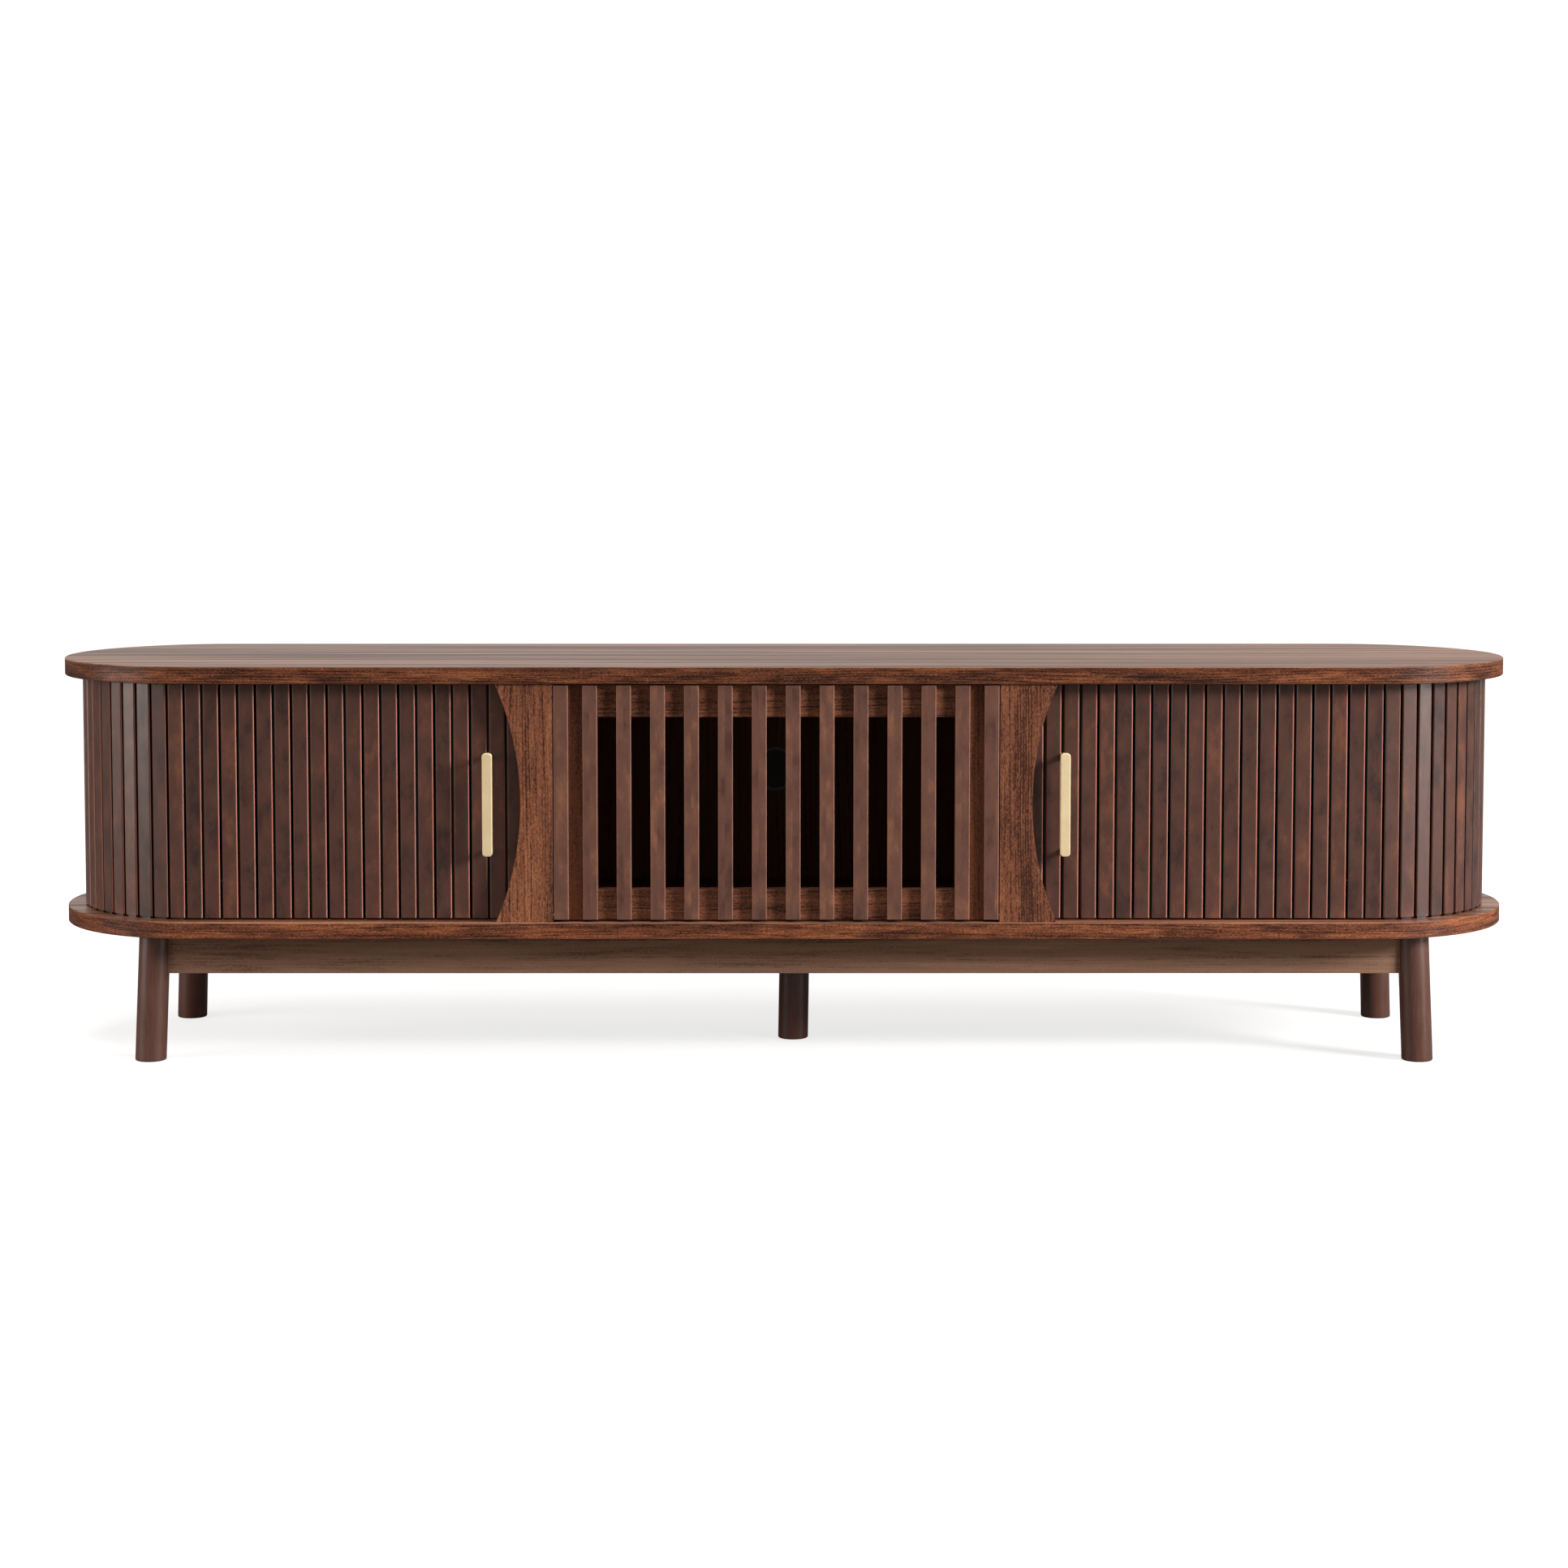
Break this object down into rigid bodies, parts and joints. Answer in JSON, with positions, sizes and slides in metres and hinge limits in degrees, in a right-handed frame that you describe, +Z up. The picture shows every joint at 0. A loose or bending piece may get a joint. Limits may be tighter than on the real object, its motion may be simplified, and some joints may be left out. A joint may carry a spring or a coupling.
{
  "type": "media cabinet",
  "caption": "Long low media cabinet with round ends, tambour doors that slide round the ends, a drop-down slatted centre flap between concave panels, brass bar pulls and splayed round legs.",
  "frame": {"origin": "centre of the footprint of the boards, on the floor", "axes": "+X to the right along the length, front faces -Y, +Z up"},
  "size_m": [2, 0.426, 0.54],
  "materials": {
    "walnut_boards": "satin lacquered walnut veneer",
    "tambour_walnut": "stained walnut slats, satin",
    "walnut_panels": "satin walnut veneer",
    "grille_walnut": "smooth stained walnut",
    "inner_board": "melamine faced board, matt",
    "leg_wood": "dark satin lacquer",
    "brass": "satin brushed",
    "steel": "zinc plated",
    "black_plastic": "fine texture",
    "grey_plastic": "fine texture"
  },
  "bodies": {
    "carcass": {"top_board": "walnut_boards", "base_board": "walnut_boards", "base_fixings": "steel", "shelf_pins": "steel", "partition_left": "inner_board", "partition_right": "inner_board", "end_wall_left": "inner_board", "end_wall_right": "inner_board", "shelf_left": "inner_board", "shelf_right": "inner_board", "front_panel_left": "walnut_panels", "front_panel_right": "walnut_panels", "liner_backs": "inner_board", "flap_pivot_pins": "steel", "magnet_catch": "black_plastic", "back_panel": "inner_board", "cable_grommet": "grey_plastic", "leg_front_left": "leg_wood", "leg_front_right": "leg_wood", "leg_back_left": "leg_wood", "leg_back_right": "leg_wood", "leg_centre": "leg_wood", "apron_rails": "walnut_boards"},
    "flap": {"flap_stiles": "walnut_panels", "flap_rails": "walnut_panels", "flap_slats": "grille_walnut", "flap_strike_plate": "steel"},
    "cap": {"cable_cap": "black_plastic"},
    "door_left_lead": {"door_left_lead_slats": "tambour_walnut", "door_left_batten": "inner_board", "door_left_handle": "brass"},
    "door_left_pair_1": {"door_left_pair_1": "tambour_walnut"},
    "door_left_pair_2": {"door_left_pair_2": "tambour_walnut"},
    "door_left_pair_3": {"door_left_pair_3": "tambour_walnut"},
    "door_left_pair_4": {"door_left_pair_4": "tambour_walnut"},
    "door_left_pair_5": {"door_left_pair_5": "tambour_walnut"},
    "door_left_pair_6": {"door_left_pair_6": "tambour_walnut"},
    "door_left_pair_7": {"door_left_pair_7": "tambour_walnut"},
    "door_left_pair_8": {"door_left_pair_8": "tambour_walnut"},
    "door_left_round": {"door_left_round_slats": "tambour_walnut"},
    "door_left_tail_1": {"door_left_tail_1": "tambour_walnut"},
    "door_left_tail_2": {"door_left_tail_2": "tambour_walnut"},
    "door_left_tail_3": {"door_left_tail_3": "tambour_walnut"},
    "door_left_tail_4": {"door_left_tail_4": "tambour_walnut"},
    "door_right_lead": {"door_right_lead_slats": "tambour_walnut", "door_right_batten": "inner_board", "door_right_handle": "brass"},
    "door_right_pair_1": {"door_right_pair_1": "tambour_walnut"},
    "door_right_pair_2": {"door_right_pair_2": "tambour_walnut"},
    "door_right_pair_3": {"door_right_pair_3": "tambour_walnut"},
    "door_right_pair_4": {"door_right_pair_4": "tambour_walnut"},
    "door_right_pair_5": {"door_right_pair_5": "tambour_walnut"},
    "door_right_pair_6": {"door_right_pair_6": "tambour_walnut"},
    "door_right_pair_7": {"door_right_pair_7": "tambour_walnut"},
    "door_right_pair_8": {"door_right_pair_8": "tambour_walnut"},
    "door_right_round": {"door_right_round_slats": "tambour_walnut"},
    "door_right_tail_1": {"door_right_tail_1": "tambour_walnut"},
    "door_right_tail_2": {"door_right_tail_2": "tambour_walnut"},
    "door_right_tail_3": {"door_right_tail_3": "tambour_walnut"},
    "door_right_tail_4": {"door_right_tail_4": "tambour_walnut"}
  },
  "joints": [
    {"name": "door_left_slide", "type": "slide", "parent": "carcass", "child": "door_left_lead", "axis": [-1, 0, 0], "range_m": [0, 0.36015]},
    {"name": "door_left_pair_1_turn", "type": "hinge", "parent": "carcass", "child": "door_left_pair_1", "pos_m": [-0.61636, 3.40833, 0.35], "axis": [0, 0, -1], "range_deg": [0, 5.73]},
    {"name": "door_left_pair_2_turn", "type": "hinge", "parent": "carcass", "child": "door_left_pair_2", "pos_m": [-0.64037, 0.81849, 0.35], "axis": [0, 0, -1], "range_deg": [0, 20.31]},
    {"name": "door_left_pair_3_turn", "type": "hinge", "parent": "carcass", "child": "door_left_pair_3", "pos_m": [-0.66438, 0.39015, 0.35], "axis": [0, 0, -1], "range_deg": [0, 34.89]},
    {"name": "door_left_pair_4_turn", "type": "hinge", "parent": "carcass", "child": "door_left_pair_4", "pos_m": [-0.68839, 0.21402, 0.35], "axis": [0, 0, -1], "range_deg": [0, 49.47]},
    {"name": "door_left_pair_5_turn", "type": "hinge", "parent": "carcass", "child": "door_left_pair_5", "pos_m": [-0.7124, 0.11925, 0.35], "axis": [0, 0, -1], "range_deg": [0, 64.06]},
    {"name": "door_left_pair_6_turn", "type": "hinge", "parent": "carcass", "child": "door_left_pair_6", "pos_m": [-0.73641, 0.06177, 0.35], "axis": [0, 0, -1], "range_deg": [0, 78.64]},
    {"name": "door_left_pair_7_turn", "type": "hinge", "parent": "carcass", "child": "door_left_pair_7", "pos_m": [-0.76042, 0.02513, 0.35], "axis": [0, 0, -1], "range_deg": [0, 93.22]},
    {"name": "door_left_pair_8_turn", "type": "hinge", "parent": "carcass", "child": "door_left_pair_8", "pos_m": [-0.78443, 0.00187, 0.35], "axis": [0, 0, -1], "range_deg": [0, 107.8]},
    {"name": "door_left_round_turn", "type": "hinge", "parent": "carcass", "child": "door_left_round", "pos_m": [-0.787, 0, 0.35], "axis": [0, 0, -1], "range_deg": [0, 109.35]},
    {"name": "door_left_tail_1_turn", "type": "hinge", "parent": "carcass", "child": "door_left_tail_1", "pos_m": [-0.76184, -0.02343, 0.35], "axis": [0, 0, -1], "range_deg": [0, 94.08]},
    {"name": "door_left_tail_2_turn", "type": "hinge", "parent": "carcass", "child": "door_left_tail_2", "pos_m": [-0.71382, -0.11506, 0.35], "axis": [0, 0, -1], "range_deg": [0, 64.92]},
    {"name": "door_left_tail_3_turn", "type": "hinge", "parent": "carcass", "child": "door_left_tail_3", "pos_m": [-0.6658, -0.37577, 0.35], "axis": [0, 0, -1], "range_deg": [0, 35.75]},
    {"name": "door_left_tail_4_turn", "type": "hinge", "parent": "carcass", "child": "door_left_tail_4", "pos_m": [-0.62378, -1.82217, 0.35], "axis": [0, 0, -1], "range_deg": [0, 10.24]},
    {"name": "door_right_slide", "type": "slide", "parent": "carcass", "child": "door_right_lead", "axis": [1, 0, 0], "range_m": [0, 0.36015]},
    {"name": "door_right_pair_1_turn", "type": "hinge", "parent": "carcass", "child": "door_right_pair_1", "pos_m": [0.61636, 3.40833, 0.35], "axis": [0, 0, 1], "range_deg": [0, 5.73]},
    {"name": "door_right_pair_2_turn", "type": "hinge", "parent": "carcass", "child": "door_right_pair_2", "pos_m": [0.64037, 0.81849, 0.35], "axis": [0, 0, 1], "range_deg": [0, 20.31]},
    {"name": "door_right_pair_3_turn", "type": "hinge", "parent": "carcass", "child": "door_right_pair_3", "pos_m": [0.66438, 0.39015, 0.35], "axis": [0, 0, 1], "range_deg": [0, 34.89]},
    {"name": "door_right_pair_4_turn", "type": "hinge", "parent": "carcass", "child": "door_right_pair_4", "pos_m": [0.68839, 0.21402, 0.35], "axis": [0, 0, 1], "range_deg": [0, 49.47]},
    {"name": "door_right_pair_5_turn", "type": "hinge", "parent": "carcass", "child": "door_right_pair_5", "pos_m": [0.7124, 0.11925, 0.35], "axis": [0, 0, 1], "range_deg": [0, 64.06]},
    {"name": "door_right_pair_6_turn", "type": "hinge", "parent": "carcass", "child": "door_right_pair_6", "pos_m": [0.73641, 0.06177, 0.35], "axis": [0, 0, 1], "range_deg": [0, 78.64]},
    {"name": "door_right_pair_7_turn", "type": "hinge", "parent": "carcass", "child": "door_right_pair_7", "pos_m": [0.76042, 0.02513, 0.35], "axis": [0, 0, 1], "range_deg": [0, 93.22]},
    {"name": "door_right_pair_8_turn", "type": "hinge", "parent": "carcass", "child": "door_right_pair_8", "pos_m": [0.78443, 0.00187, 0.35], "axis": [0, 0, 1], "range_deg": [0, 107.8]},
    {"name": "door_right_round_turn", "type": "hinge", "parent": "carcass", "child": "door_right_round", "pos_m": [0.787, 0, 0.35], "axis": [0, 0, 1], "range_deg": [0, 109.35]},
    {"name": "door_right_tail_1_turn", "type": "hinge", "parent": "carcass", "child": "door_right_tail_1", "pos_m": [0.76184, -0.02343, 0.35], "axis": [0, 0, 1], "range_deg": [0, 94.08]},
    {"name": "door_right_tail_2_turn", "type": "hinge", "parent": "carcass", "child": "door_right_tail_2", "pos_m": [0.71382, -0.11506, 0.35], "axis": [0, 0, 1], "range_deg": [0, 64.92]},
    {"name": "door_right_tail_3_turn", "type": "hinge", "parent": "carcass", "child": "door_right_tail_3", "pos_m": [0.6658, -0.37577, 0.35], "axis": [0, 0, 1], "range_deg": [0, 35.75]},
    {"name": "door_right_tail_4_turn", "type": "hinge", "parent": "carcass", "child": "door_right_tail_4", "pos_m": [0.62378, -1.82217, 0.35], "axis": [0, 0, 1], "range_deg": [0, 10.24]},
    {"name": "flap_drop", "type": "hinge", "parent": "carcass", "child": "flap", "pos_m": [-0.0104, -0.204, 0.205], "axis": [1, 0, 0], "range_deg": [0, 90]},
    {"name": "cap_turn", "type": "hinge", "parent": "carcass", "child": "cap", "pos_m": [-0.0122, 0.2085, 0.3566], "axis": [0, 1, 0], "continuous": true}
  ],
  "couplings": [
    {"joint": "door_left_pair_1_turn", "follows": "door_left_slide", "rad_per_m": 0.27779},
    {"joint": "door_left_pair_2_turn", "follows": "door_left_slide", "rad_per_m": 0.98438},
    {"joint": "door_left_pair_3_turn", "follows": "door_left_slide", "rad_per_m": 1.691},
    {"joint": "door_left_pair_4_turn", "follows": "door_left_slide", "rad_per_m": 2.3976},
    {"joint": "door_left_pair_5_turn", "follows": "door_left_slide", "rad_per_m": 3.1041},
    {"joint": "door_left_pair_6_turn", "follows": "door_left_slide", "rad_per_m": 3.8107},
    {"joint": "door_left_pair_7_turn", "follows": "door_left_slide", "rad_per_m": 4.5173},
    {"joint": "door_left_pair_8_turn", "follows": "door_left_slide", "rad_per_m": 5.2239},
    {"joint": "door_left_round_turn", "follows": "door_left_slide", "rad_per_m": 5.2994},
    {"joint": "door_left_tail_1_turn", "follows": "door_left_slide", "rad_per_m": 4.559},
    {"joint": "door_left_tail_2_turn", "follows": "door_left_slide", "rad_per_m": 3.1458},
    {"joint": "door_left_tail_3_turn", "follows": "door_left_slide", "rad_per_m": 1.7326},
    {"joint": "door_left_tail_4_turn", "follows": "door_left_slide", "rad_per_m": 0.4961},
    {"joint": "door_right_pair_1_turn", "follows": "door_right_slide", "rad_per_m": 0.27779},
    {"joint": "door_right_pair_2_turn", "follows": "door_right_slide", "rad_per_m": 0.98438},
    {"joint": "door_right_pair_3_turn", "follows": "door_right_slide", "rad_per_m": 1.691},
    {"joint": "door_right_pair_4_turn", "follows": "door_right_slide", "rad_per_m": 2.3976},
    {"joint": "door_right_pair_5_turn", "follows": "door_right_slide", "rad_per_m": 3.1041},
    {"joint": "door_right_pair_6_turn", "follows": "door_right_slide", "rad_per_m": 3.8107},
    {"joint": "door_right_pair_7_turn", "follows": "door_right_slide", "rad_per_m": 4.5173},
    {"joint": "door_right_pair_8_turn", "follows": "door_right_slide", "rad_per_m": 5.2239},
    {"joint": "door_right_round_turn", "follows": "door_right_slide", "rad_per_m": 5.2994},
    {"joint": "door_right_tail_1_turn", "follows": "door_right_slide", "rad_per_m": 4.559},
    {"joint": "door_right_tail_2_turn", "follows": "door_right_slide", "rad_per_m": 3.1458},
    {"joint": "door_right_tail_3_turn", "follows": "door_right_slide", "rad_per_m": 1.7326},
    {"joint": "door_right_tail_4_turn", "follows": "door_right_slide", "rad_per_m": 0.4961}
  ]
}
